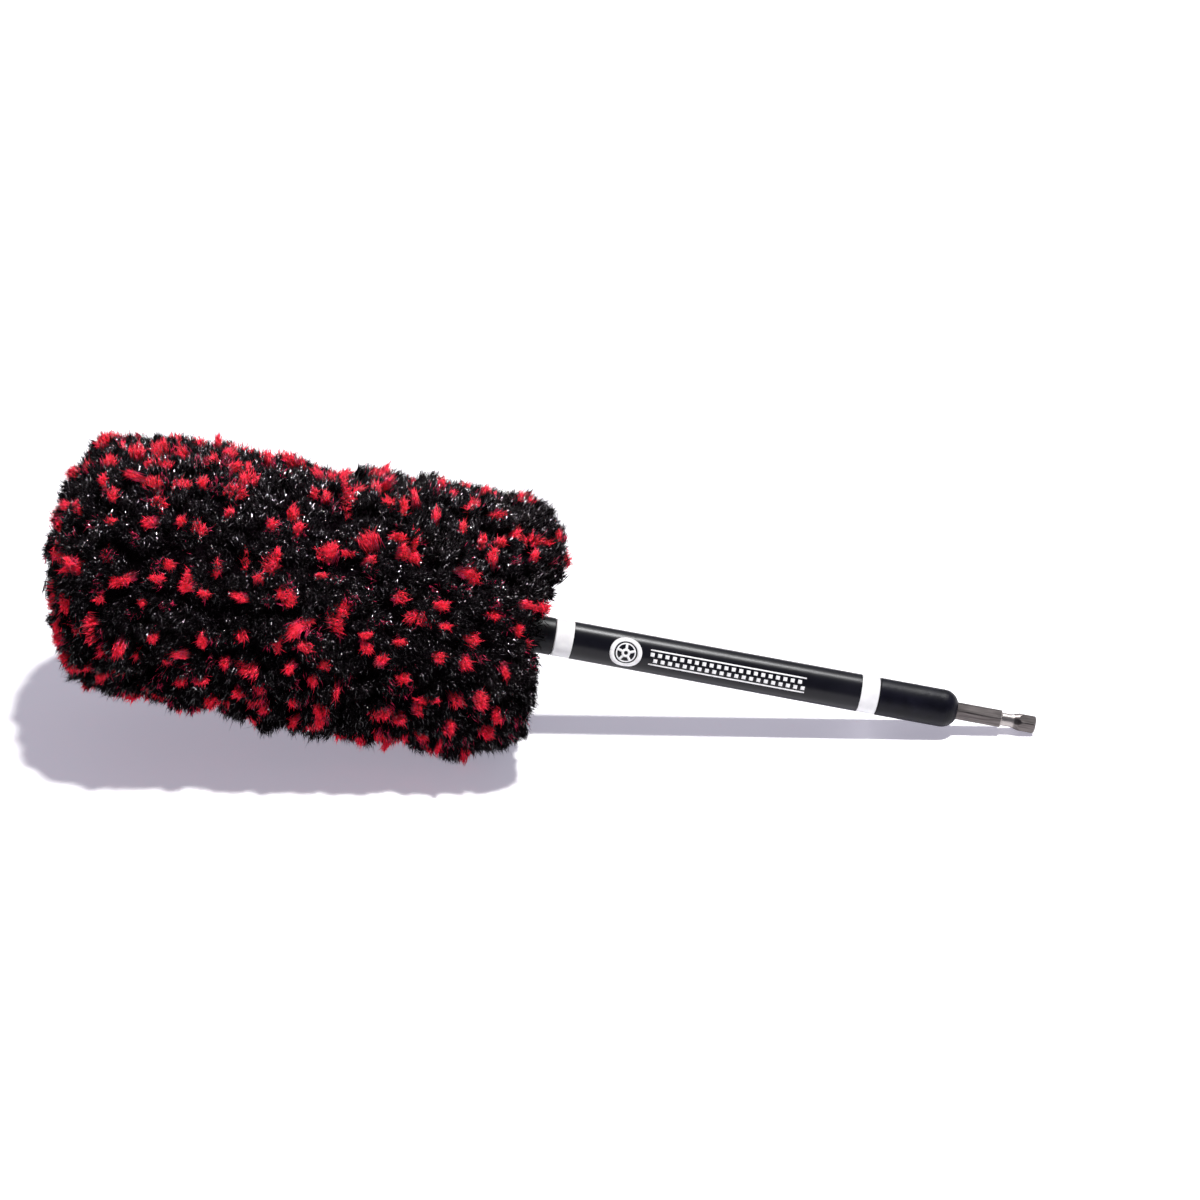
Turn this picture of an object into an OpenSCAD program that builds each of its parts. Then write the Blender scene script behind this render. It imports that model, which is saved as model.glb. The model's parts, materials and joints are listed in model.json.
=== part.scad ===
// Drill-driven wheel brush: a hex shank and a steel shaft carry a pile head,
// and a grip sleeve turns freely on the shaft between two white flanged bushes.
//
// Every sub-part is drawn on the tool's own axis: +Z runs from the free end of
// the shank (z = 0) to the far end of the head, and +X is the side that faces
// up when the brush lies down. on_axis() then lays the tool on the ground plane
// z = 0, resting on the tip of its shank and on the near edge of its head.

/* [Shank] */
// Hex size across the flats, a quarter inch
hex_flats = 6.35; // [6.3:0.01:6.4]
// Hex length that stands out of the boot
hex_out = 30; // [26:1:40]
// Distance from the tip to the far shoulder of the detent groove
groove_end = 12.9; // [12:0.1:15]
// Diameter of the detent groove's floor
groove_d = 4.8; // [4.5:0.1:5.2]

/* [Coupler and boot] */
// Length of the boot over the coupler
boot_l = 30; // [28:1:45]
// Radius of the boot's rounded rear end
boot_round = 6; // [5:0.5:6.5]

/* [Grip] */
// Outside diameter of the sleeve, the bushes, the boot and the collar
grip_d = 14; // [13.5:0.5:18]
// Length of the sleeve between the bush flanges
sleeve_l = 109; // [80:1:160]
// Wall of the sleeve
sleeve_wall = 1.6; // [1:0.1:1.8]
// Length of each bush flange, the white ring
flange_l = 6.8; // [4:0.1:9]
// Length of each bush inside the sleeve
spigot_l = 12; // [8:1:20]

/* [Shaft] */
// Diameter of the drive shaft
shaft_d = 8; // [7:0.5:8]
// Radial clearance of the shaft in each bush
run_gap = 0.05; // [0.02:0.01:0.09]
// End float between each bush flange and its stop
end_float = 0.2; // [0.1:0.05:0.5]

/* [Head] */
// Length of the head over its pile
head_l = 189; // [170:1:230]
// Diameter of the head at its middle
head_d = 98; // [90:1:120]
// How much smaller the radius is at the ends than at the middle
barrel = 3.5; // [2:0.5:5]
// Radius of the near edge, where the pile turns in to the collar
near_round = 14; // [10:1:18]
// Radius of the far edge
far_round = 20; // [14:1:24]
// Outside diameter of the core tube
core_d = 24; // [22:1:30]
// Number of red tufts that this model shows
red_count = 96; // [40:1:120]
// Diameter of a red tuft
red_d = 5; // [3:0.5:6]

/* [Hidden] */
$fn = 96;
nudge = 0.5;              // how far a cutter runs past what it cuts
pin_set = 0.2;            // how far a pin's ends sit below the surface

// Shank
hex_corner_r = 3.58;      // corners are rounded by the bar's drawn diameter
tip_face_r = 2.9;
tip_chamfer = 0.75;
groove_r = groove_d / 2;
groove_start = groove_end - 3.9;
flare_l = 4.4;            // the groove opens to the tip over this length
flare_r = 3.7;
shoulder_l = 0.5;
hex_in = 17;              // hex length inside the coupler
hex_l = hex_out + hex_in;

// Coupler and boot
grip_r = grip_d / 2;
boot_z = hex_out;
boot_end = boot_z + boot_l;
boot_wall = 1.4;
boot_mouth_r = 3.75;      // where the rounded rear end stops
boot_hole_r = 3.65;       // grips the shank's corners
boot_arc_r = grip_r - boot_round;
boot_arc_z = boot_z + sqrt(pow(boot_round, 2) - pow(boot_mouth_r - boot_arc_r, 2));
coupler_r = grip_r - boot_wall;
coupler_z = boot_z + 3.5;
coupler_chamfer = 0.8;
pin_r = 1.25;
shank_pin_z = boot_z + 10.5;
shaft_pin_z = boot_end - 5.5;
coupler_pin_l = 2 * (coupler_r - pin_set);

// Grip
shaft_r = shaft_d / 2;
bush_bore_r = shaft_r + run_gap;
sleeve_bore_r = grip_r - sleeve_wall;
rear_flange_z = boot_end + end_float;
sleeve_z = rear_flange_z + flange_l;
sleeve_end = sleeve_z + sleeve_l;
front_flange_end = sleeve_end + flange_l;
edge_break = 0.3;

// Head
collar_z = front_flange_end + end_float;
head_z = collar_z + 0.8;
head_end = head_z + head_l;
head_mid = (head_z + head_end) / 2;
head_r = head_d / 2;
core_r = core_d / 2;
core_wall = 2;
collar_l = 20;
plug_face_z = collar_z + collar_l;
plug_flange_l = 3;
plug_spigot_l = 14;
core_z = plug_face_z + plug_flange_l;
far_cover = 21;           // pile over the far end of the core
core_end = head_end - far_cover;
far_plug_end = core_end + plug_flange_l;
collar_pin_z = collar_z + 0.6 * collar_l;
collar_pin_l = 2 * (grip_r - pin_set);
plug_pin_r = 1.5;
plug_pin_l = 2 * (core_r - core_wall - pin_set);
plug_pin_in = 5;          // from the spigot's end
near_pin_z = core_z + plug_spigot_l - plug_pin_in;
far_pin_z = core_end - plug_spigot_l + plug_pin_in;
shaft_z = boot_z + hex_in + 1.5;
screw_r = 2;
screw_l = 9;
screw_head_r = 4;
screw_head_l = 2.6;
washer_r = 8;
washer_t = 1.5;
slot_w = 1.2;
slot_d = 1.2;

// Pile strip
strip_t = 1.4;
strip_pitch = 30;
strip_w = 29;
strip_steps = 32;         // flats in one turn of the strip
strip_slack = 0.02;
binding_t = 1;
binding_w = 3;
binding_in = 1;           // from the end of the core
binding_r = core_r + strip_t + 0.05;
pile_gap = 0.1;           // between the pile and what it covers
root_r = core_r + strip_t + 2 * pile_gap;
bound_r = binding_r + binding_t + pile_gap;
bound_l = binding_in + binding_w + 1;
mouth_r = 14;             // opening in the pile round the collar
throat_r = 9;
pocket_r = 9;             // space in the pile over the end screw
pocket_end = far_plug_end + washer_t + screw_head_l + 2;
dome_h = 4;               // the far face stands this much proud of its edge
dome_r = 8;
pile_sides = 24;          // flats round the head, on which it lies still
far_arc_z = head_end - dome_h - far_round;
near_arc_z = head_z + near_round;
barrel_steps = 8;
arc_steps = 7;
red_root_r = head_r - 12;
red_inset = 0.5;
golden = 180 * (3 - sqrt(5));

// Resting attitude: the shank's chamfered corner and the near edge of the head
// touch z = 0 together. lever_z and lever_r run from one contact to the other.
near_arc_r = barrel_r(near_arc_z) - near_round;
lever_z = near_arc_z - tip_chamfer;
lever_r = near_arc_r - hex_corner_r;
lever = sqrt(pow(lever_z, 2) + pow(lever_r, 2));
rest_tilt = atan2(lever_r, lever_z) + asin(near_round / lever);
tip_z = hex_corner_r * cos(rest_tilt) - tip_chamfer * sin(rest_tilt);
far_arc_r = barrel_r(far_arc_z) - far_round;
reach = far_arc_z * cos(rest_tilt) + far_arc_r * sin(rest_tilt) + far_round;
tip_reach = tip_face_r * sin(rest_tilt);
tip_x = (reach - tip_reach) / 2;         // centres the resting brush on x = 0

// Radius of the head at z: a flat arc, largest at the middle.
function barrel_r(z) = head_r - barrel * pow((z - head_mid) / (head_l / 2), 2);

// Points of an arc about [r, z] in the profile plane, from angle a to angle b.
function arc(r, z, radius, a, b, steps) =
    [for (i = [0 : steps]) let (t = a + (b - a) * i / steps)
        [r + radius * cos(t), z + radius * sin(t)]];

// The head's outline from its near face to its far one. The points where it
// touches the floor and where it reaches furthest are among them.
pile_outline = concat(
    arc(near_arc_r, near_arc_z, near_round, -90, -rest_tilt, arc_steps),
    [for (i = [0 : barrel_steps])
        let (z = near_arc_z + (far_arc_z - near_arc_z) * i / barrel_steps) [barrel_r(z), z]],
    arc(far_arc_r, far_arc_z, far_round, 90 / arc_steps, 90 - rest_tilt, arc_steps - 1),
    [[far_arc_r, head_end - dome_h], [dome_r, head_end]]
);

// One helical turn point of the strip at angle t: radius r, height z.
function helix(r, z, t) = [r * cos(t), r * sin(t), z + strip_pitch * t / 360];

module on_axis() {
    translate([tip_x, 0, tip_z]) rotate([0, rest_tilt - 90, 0]) children();
}

// A plain length of rod from z, with both edges broken.
module rod(r, z, l, chamfer = 0) {
    rotate_extrude() polygon([
        [0, z], [r - chamfer, z], [r, z + chamfer],
        [r, z + l - chamfer], [r - chamfer, z + l], [0, z + l]
    ]);
}

// A straight bore along the axis, cut past both ends.
module bore(r, z, l) {
    translate([0, 0, z - nudge]) cylinder(r = r, h = l + 2 * nudge);
}

// A pin across the axis at z, along Y.
module cross_pin(r, z, l) {
    translate([0, 0, z]) rotate([90, 0, 0]) cylinder(r = r, h = l, center = true, $fn = 48);
}

// The hex bar before turning: flats face +Y and -Y.
module hex_bar(z, l) {
    translate([0, 0, z]) cylinder(d = hex_flats / cos(30), h = l, $fn = 6);
}

module hex_shank() {
    color("#8d8786") on_axis() difference() {
        intersection() {
            hex_bar(0, hex_l);
            rotate_extrude() polygon([
                [0, -nudge], [tip_face_r, -nudge], [tip_face_r, 0], [hex_corner_r, tip_chamfer],
                [hex_corner_r, hex_l + nudge], [0, hex_l + nudge]
            ]);
        }
        rotate_extrude() polygon([
            [groove_r, groove_start], [flare_r, groove_start - flare_l],
            [hex_flats, groove_start - flare_l], [hex_flats, groove_end + shoulder_l / 2],
            [flare_r, groove_end + shoulder_l / 2], [groove_r, groove_end - shoulder_l / 2]
        ]);
        cross_pin(pin_r, shank_pin_z, hex_flats * 2);
    }
}

module shank_coupler() {
    color("#9a9ca0") on_axis() difference() {
        rod(coupler_r, coupler_z, boot_end - coupler_z, coupler_chamfer);
        hex_bar(coupler_z - nudge, hex_l - coupler_z + nudge);
        translate([0, 0, shaft_z]) cylinder(r = shaft_r, h = boot_end - shaft_z + nudge);
        cross_pin(pin_r, shank_pin_z, grip_d);
        cross_pin(pin_r, shaft_pin_z, grip_d);
    }
}

module coupler_pins() {
    color("#b9bcc0") on_axis() {
        cross_pin(pin_r, shank_pin_z, coupler_pin_l);
        cross_pin(pin_r, shaft_pin_z, coupler_pin_l);
    }
}

module end_boot() {
    rear = acos((boot_mouth_r - boot_arc_r) / boot_round);
    color("#15151a") on_axis() difference() {
        rotate_extrude() polygon(concat(
            [[0, boot_z]],
            arc(boot_arc_r, boot_arc_z, boot_round, -rear, 0, arc_steps),
            [[grip_r, boot_end - edge_break], [grip_r - edge_break, boot_end], [0, boot_end]]
        ));
        bore(boot_hole_r, boot_z, coupler_z - boot_z);
        rod(coupler_r, coupler_z, boot_l, coupler_chamfer);
    }
}

module drive_shaft() {
    color("#a9abad") on_axis() difference() {
        rod(shaft_r, shaft_z, far_plug_end - shaft_z, edge_break);
        cross_pin(pin_r, shaft_pin_z, grip_d);
        cross_pin(pin_r, collar_pin_z, grip_d);
        cross_pin(plug_pin_r, near_pin_z, grip_d);
        cross_pin(plug_pin_r, far_pin_z, grip_d);
        translate([0, 0, far_plug_end - screw_l]) cylinder(r = screw_r, h = screw_l + nudge);
    }
}

// A flanged bush: the flange starts at z and the spigot runs on into the sleeve.
module bushing(z) {
    rotate_extrude() polygon([
        [bush_bore_r, z], [grip_r - edge_break, z], [grip_r, z + edge_break],
        [grip_r, z + flange_l], [sleeve_bore_r, z + flange_l],
        [sleeve_bore_r, z + flange_l + spigot_l - edge_break],
        [sleeve_bore_r - edge_break, z + flange_l + spigot_l],
        [bush_bore_r, z + flange_l + spigot_l]
    ]);
}

module rear_bushing() {
    color("#f2f1ee") on_axis() bushing(rear_flange_z);
}

module front_bushing() {
    color("#f2f1ee") on_axis() mirror([0, 0, 1]) bushing(-front_flange_end);
}

module grip_sleeve() {
    color("#1b1b20") on_axis() difference() {
        rod(grip_r, sleeve_z, sleeve_l, edge_break / 2);
        bore(sleeve_bore_r, sleeve_z, sleeve_l);
    }
}

module shaft_collar() {
    color("#15151a") on_axis() difference() {
        rod(grip_r, collar_z, plug_face_z - collar_z, edge_break);
        bore(shaft_r, collar_z, plug_face_z - collar_z);
        cross_pin(pin_r, collar_pin_z, grip_d * 2);
    }
}

module collar_pin() {
    color("#b9bcc0") on_axis() cross_pin(pin_r, collar_pin_z, collar_pin_l);
}

// A flanged plug: the flange starts at z and the spigot enters the core tube.
module plug(z, pin_z) {
    difference() {
        rotate_extrude() polygon([
            [shaft_r, z], [core_r, z], [core_r, z + plug_flange_l],
            [core_r - core_wall, z + plug_flange_l],
            [core_r - core_wall, z + plug_flange_l + plug_spigot_l],
            [shaft_r, z + plug_flange_l + plug_spigot_l]
        ]);
        cross_pin(plug_pin_r, pin_z, core_d);
    }
}

module near_plug() {
    color("#3a3c40") on_axis() plug(plug_face_z, near_pin_z);
}

module far_plug() {
    color("#3a3c40") on_axis() mirror([0, 0, 1]) plug(-far_plug_end, -far_pin_z);
}

module plug_pins() {
    color("#b9bcc0") on_axis() {
        cross_pin(plug_pin_r, near_pin_z, plug_pin_l);
        cross_pin(plug_pin_r, far_pin_z, plug_pin_l);
    }
}

module core_tube() {
    color("#d8d4c8") on_axis() difference() {
        rod(core_r, core_z, core_end - core_z);
        bore(core_r - core_wall, core_z, core_end - core_z);
    }
}

module end_washer() {
    color("#b9bcc0") on_axis() difference() {
        rod(washer_r, far_plug_end, washer_t, edge_break);
        bore(screw_r, far_plug_end, washer_t);
    }
}

module end_screw() {
    head = far_plug_end + washer_t;
    color("#c4c6c8") on_axis() difference() {
        union() {
            rod(screw_r, far_plug_end - screw_l, screw_l + washer_t + nudge);
            rod(screw_head_r, head, screw_head_l, edge_break);
        }
        translate([0, 0, head + screw_head_l])
            cube([2 * screw_head_r + 1, slot_w, 2 * slot_d], center = true);
    }
}

// The woven strip that holds the pile, wound round the core tube as one helix.
module backing_strip() {
    turns = (core_end - core_z - strip_w) / strip_pitch;
    steps = floor(turns * strip_steps);
    inner = core_r / cos(180 / strip_steps) + strip_slack;
    outer = core_r + strip_t;
    sections = [for (i = [0 : steps]) let (t = 360 * i / strip_steps) [
        helix(inner, core_z, t), helix(outer, core_z, t),
        helix(outer, core_z + strip_w, t), helix(inner, core_z + strip_w, t)
    ]];
    points = [for (s = sections) each s];
    sides = [for (i = [0 : steps - 1], k = [0 : 3]) let (
        a = 4 * i + k, b = 4 * i + (k + 1) % 4, c = 4 * i + 4 + (k + 1) % 4, d = 4 * i + 4 + k
    ) each [[a, b, d], [b, c, d]]];
    ends = [[0, 3, 2], [0, 2, 1], [4 * steps, 4 * steps + 1, 4 * steps + 2],
        [4 * steps, 4 * steps + 2, 4 * steps + 3]];
    color("#55504c") on_axis() polyhedron(points, concat(sides, ends));
}

// A band that ties one end of the strip down, from z.
module binding(z) {
    translate([0, 0, z]) rotate_extrude() translate([binding_r, 0]) square([binding_t, binding_w]);
}

module end_bindings() {
    color("#2c2c30") on_axis() {
        binding(core_z + binding_in);
        binding(core_end - binding_in - binding_w);
    }
}

// Red tufts by rule: even steps along the head, and the golden angle round it.
module tuft_sockets(inset) {
    for (i = [0 : red_count - 1]) {
        z = near_arc_z + (far_arc_z - near_arc_z) * (i + 0.5) / red_count;
        rotate([0, 0, golden * i]) translate([red_root_r, 0, z]) rotate([0, 90, 0])
            cylinder(d = red_d, h = barrel_r(z) - red_root_r - inset, $fn = 24);
    }
}

// A closed barrel with flat sides: the outline's radii are those of the flats.
module flat_sided(outline, sides) {
    last = len(outline) - 1;
    points = [for (p = outline, k = [0 : sides - 1])
        let (r = p[0] / cos(180 / sides), t = 360 * (k + 0.5) / sides) [r * cos(t), r * sin(t), p[1]]];
    walls = [for (i = [0 : last - 1], k = [0 : sides - 1]) let (next = (k + 1) % sides)
        [i * sides + k, (i + 1) * sides + k, (i + 1) * sides + next, i * sides + next]];
    near = [for (k = [0 : sides - 1]) k];
    far = [for (k = [sides - 1 : -1 : 0]) last * sides + k];
    polyhedron(points, concat(walls, [near, far]));
}

// The hollow that the core, its plugs, the collar and the end screw fill.
module pile_hollow() {
    rotate_extrude() polygon([
        [0, head_z - nudge], [mouth_r, head_z - nudge], [mouth_r, head_z],
        [throat_r, plug_face_z - pile_gap], [bound_r, plug_face_z - pile_gap],
        [bound_r, core_z + bound_l], [root_r, core_z + bound_l],
        [root_r, core_end - bound_l], [bound_r, core_end - bound_l],
        [bound_r, far_plug_end + pile_gap], [pocket_r, far_plug_end + pile_gap],
        [pocket_r, pocket_end], [0, pocket_end]
    ]);
}

module black_pile() {
    color("#0c0c10") on_axis() difference() {
        flat_sided(pile_outline, pile_sides);
        pile_hollow();
        tuft_sockets(-nudge);
    }
}

module red_tufts() {
    color("#e0202c") on_axis() tuft_sockets(red_inset);
}

hex_shank();
shank_coupler();
coupler_pins();
end_boot();
drive_shaft();
rear_bushing();
front_bushing();
grip_sleeve();
shaft_collar();
collar_pin();
near_plug();
far_plug();
plug_pins();
core_tube();
end_washer();
end_screw();
backing_strip();
end_bindings();
black_pile();
red_tufts();
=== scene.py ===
"""Looks of a drill-driven wheel brush: a pile head on a steel shaft, a free-turning grip sleeve
between two white bushes, a boot and a hex shank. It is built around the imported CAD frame."""

import json

import bpy
import numpy as np
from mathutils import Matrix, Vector


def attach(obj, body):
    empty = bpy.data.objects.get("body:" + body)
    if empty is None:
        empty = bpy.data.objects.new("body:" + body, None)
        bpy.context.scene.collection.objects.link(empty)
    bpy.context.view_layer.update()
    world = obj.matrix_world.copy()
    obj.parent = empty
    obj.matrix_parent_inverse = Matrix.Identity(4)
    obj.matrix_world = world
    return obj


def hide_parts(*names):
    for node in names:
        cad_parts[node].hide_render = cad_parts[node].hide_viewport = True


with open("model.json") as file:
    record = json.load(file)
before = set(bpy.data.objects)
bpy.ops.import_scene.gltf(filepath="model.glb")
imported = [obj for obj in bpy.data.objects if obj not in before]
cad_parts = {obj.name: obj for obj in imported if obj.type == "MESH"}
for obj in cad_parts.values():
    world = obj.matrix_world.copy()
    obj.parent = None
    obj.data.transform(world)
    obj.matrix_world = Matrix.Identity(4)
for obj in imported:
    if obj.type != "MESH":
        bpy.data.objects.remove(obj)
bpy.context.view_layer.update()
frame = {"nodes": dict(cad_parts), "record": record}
nodes = frame["nodes"]
mm = 0.001

# ---------------------------------------------------------------------------
# Camera: a long lens in front of the brush and above it, aimed a little past
# the middle of the object, so that the head is on the left.
# ---------------------------------------------------------------------------
CAMERA_AZIMUTH = np.radians(-0.44)
CAMERA_ELEVATION = np.radians(31.0)
CAMERA_DISTANCE = 3.684
CAMERA_AIM = Vector((0.02162, 0.0, 0.05821))

camera_data = bpy.data.cameras.new("camera")
camera_data.lens = 300.0
camera_data.sensor_width = 36.0
camera_data.clip_end = 100.0
camera = bpy.data.objects.new("camera", camera_data)
bpy.context.scene.collection.objects.link(camera)
toward_camera = Vector(
    (
        np.sin(CAMERA_AZIMUTH) * np.cos(CAMERA_ELEVATION),
        -np.cos(CAMERA_AZIMUTH) * np.cos(CAMERA_ELEVATION),
        np.sin(CAMERA_ELEVATION),
    )
)
camera.location = CAMERA_AIM + CAMERA_DISTANCE * toward_camera
camera.rotation_euler = (-toward_camera).to_track_quat("-Z", "Y").to_euler()
bpy.context.scene.camera = camera

# ---------------------------------------------------------------------------
# Stage: a wide, faintly glowing white floor, one small key lamp high above and a
# little to the front right, a softbox high behind, two lamps for the pile
# alone, and a dim surround of bluish white.
# ---------------------------------------------------------------------------
FLOOR_HALF = 14.0
FLOOR_WHITE = (0.9, 0.9, 0.905, 1.0)
FLOOR_GLOW_COLOUR = (0.87, 0.83, 1.0, 1.0)
KEY_COLOUR = (1.0, 0.985, 0.965)
KEY_STRENGTH = 4.2
KEY_WIDTH = np.radians(4.2)
FILL_COLOUR = (0.87, 0.86, 1.0, 1.0)
FILL_STRENGTH = 0.19
FLOOR_GLOW = 0.37
REAR_POWER = 25.0
GLINT_STRENGTH = 54.0
FRONT_GLINT_STRENGTH = 15.0
GLINT_COLOUR = (1.0, 0.86, 0.97)
TOWARD_KEY = Vector((0.19, -0.17, 0.965))
TOWARD_FRONT_GLINT = Vector((0.35, -0.85, 0.45))
REAR_PLACE = Vector((0.22, 0.54, 1.12))
REAR_WIDTH = 0.62
REAR_HEIGHT = 0.28


def start_material(name):
    """A new node material. Returns the material, its nodes, its links and its Principled shader."""
    material = bpy.data.materials.new(name)
    material.use_nodes = True
    tree = material.node_tree
    return material, tree.nodes, tree.links, tree.nodes["Principled BSDF"]


scene = bpy.context.scene
scene.view_settings.view_transform = "Standard"

floor_mesh = bpy.data.meshes.new("studio_floor")
floor_corners = FLOOR_HALF * np.array([(-1, -1, 0), (1, -1, 0), (1, 1, 0), (-1, 1, 0)])
floor_mesh.from_pydata(floor_corners.tolist(), [], [(0, 1, 2, 3)])
studio_floor = bpy.data.objects.new("studio_floor", floor_mesh)
scene.collection.objects.link(studio_floor)
floor_paint, _, _, floor_shader = start_material("studio_white")
floor_shader.inputs["Base Color"].default_value = FLOOR_WHITE
floor_shader.inputs["Roughness"].default_value = 0.9
floor_shader.inputs["Specular IOR Level"].default_value = 0.1
floor_shader.inputs["Emission Color"].default_value = FLOOR_GLOW_COLOUR
floor_shader.inputs["Emission Strength"].default_value = FLOOR_GLOW
floor_mesh.materials.append(floor_paint)

key_data = bpy.data.lights.new("key_lamp", "SUN")
key_data.energy = KEY_STRENGTH
key_data.angle = KEY_WIDTH
key_data.color = KEY_COLOUR
key_lamp = bpy.data.objects.new("key_lamp", key_data)
key_lamp.rotation_euler = (-TOWARD_KEY).to_track_quat("-Z", "Y").to_euler()
key_lamp.visible_glossy = False
scene.collection.objects.link(key_lamp)

rear_data = bpy.data.lights.new("rear_softbox", "AREA")
rear_data.shape = "RECTANGLE"
rear_data.size = REAR_WIDTH
rear_data.size_y = REAR_HEIGHT
rear_data.energy = REAR_POWER
rear_softbox = bpy.data.objects.new("rear_softbox", rear_data)
rear_softbox.location = REAR_PLACE
rear_softbox.rotation_euler = (REAR_PLACE - CAMERA_AIM).to_track_quat("Z", "Y").to_euler()
rear_softbox.visible_diffuse = False
scene.collection.objects.link(rear_softbox)

# Fibre glitters, so its gloss comes from two lamps of its own, which light nothing but the pile:
# one stands with the key lamp, and a weaker one stands low in front.
pile_pieces = bpy.data.collections.new("pile_pieces")
glints = [
    ("glint_above", GLINT_STRENGTH, key_lamp.rotation_euler),
    ("glint_front", FRONT_GLINT_STRENGTH, TOWARD_FRONT_GLINT.to_track_quat("Z", "Y").to_euler()),
]
for glint_name, strength, turned in glints:
    glint_data = key_data.copy()
    glint_data.name = glint_name
    glint_data.energy = strength
    glint_data.color = GLINT_COLOUR
    glint_lamp = bpy.data.objects.new(glint_name, glint_data)
    glint_lamp.rotation_euler = turned
    glint_lamp.visible_diffuse = False
    glint_lamp.light_linking.receiver_collection = pile_pieces
    scene.collection.objects.link(glint_lamp)

surround = bpy.data.worlds.new("white_surround")
surround.use_nodes = True
surround_light = surround.node_tree.nodes["Background"]
surround_light.inputs["Color"].default_value = FILL_COLOUR
surround_light.inputs["Strength"].default_value = FILL_STRENGTH
scene.world = surround

# ---------------------------------------------------------------------------
# The tool's axis: the shank's drive mount gives the free end and the way out
# of the tool. Distances along the tool are counted from that end to the head.
# ---------------------------------------------------------------------------
drive_mount = next(m for m in frame["record"]["mounts"] if m["name"] == "hex_drive")
tip = np.array(drive_mount["pos_m"])
along = -np.array(drive_mount["axis"]) / np.linalg.norm(drive_mount["axis"])
side = np.array([0.0, 1.0, 0.0])
top = np.cross(side, along)
top = top * np.sign(top[2])


def extent(node):
    """How far along the tool a CAD node starts and ends, and its largest radius, in metres."""
    flat = np.empty(3 * len(nodes[node].data.vertices), np.float32)
    nodes[node].data.vertices.foreach_get("co", flat)
    offset = flat.reshape(-1, 3).astype(float) - tip
    distance = offset @ along
    radius = np.linalg.norm(offset - distance[:, None] * along, axis=1)
    return distance.min(), distance.max(), radius.max()


def on_tool(distance, across_top, across_side):
    """World points: the tip, plus the distance along the tool, plus the two offsets across it."""
    return (
        tip
        + np.asarray(distance)[..., None] * along
        + np.asarray(across_top)[..., None] * top
        + np.asarray(across_side)[..., None] * side
    )


def dress(node, material):
    """Puts a material in every slot of a CAD node."""
    if not nodes[node].data.materials:
        nodes[node].data.materials.append(material)
    for place in nodes[node].material_slots:
        place.material = material


# ---------------------------------------------------------------------------
# Hex shank: quarter-inch hex steel bar, drawn and then tumbled to a dull warm
# grey, with a detent groove turned bright near its tip. Pinned in the coupler.
# ---------------------------------------------------------------------------
STEEL_DULL = (0.165, 0.148, 0.145, 1.0)
STEEL_DARK = (0.075, 0.066, 0.065, 1.0)
STEEL_BRIGHT = (0.40, 0.37, 0.355, 1.0)
GROOVE_START = 8.2 * mm
GROOVE_END = 13.2 * mm
OPENING_HALF = 0.4 * mm
CLOSING_HALF = 0.2 * mm


def add_axis_space(shader_nodes, shader_links):
    """Object coordinates turned so that X runs along the tool from its tip, and Y = Z = 0 is its axis."""
    place = shader_nodes.new("ShaderNodeTexCoord")
    turn = shader_nodes.new("ShaderNodeMapping")
    angle = np.arctan2(along[2], along[0])
    turned_tip = np.array(
        [
            tip[0] * np.cos(angle) + tip[2] * np.sin(angle),
            tip[1],
            -tip[0] * np.sin(angle) + tip[2] * np.cos(angle),
        ]
    )
    turn.inputs["Rotation"].default_value = (0.0, angle, 0.0)
    turn.inputs["Location"].default_value = tuple(-turned_tip)
    shader_links.new(place.outputs["Object"], turn.inputs["Vector"])
    return turn.outputs["Vector"]


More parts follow.
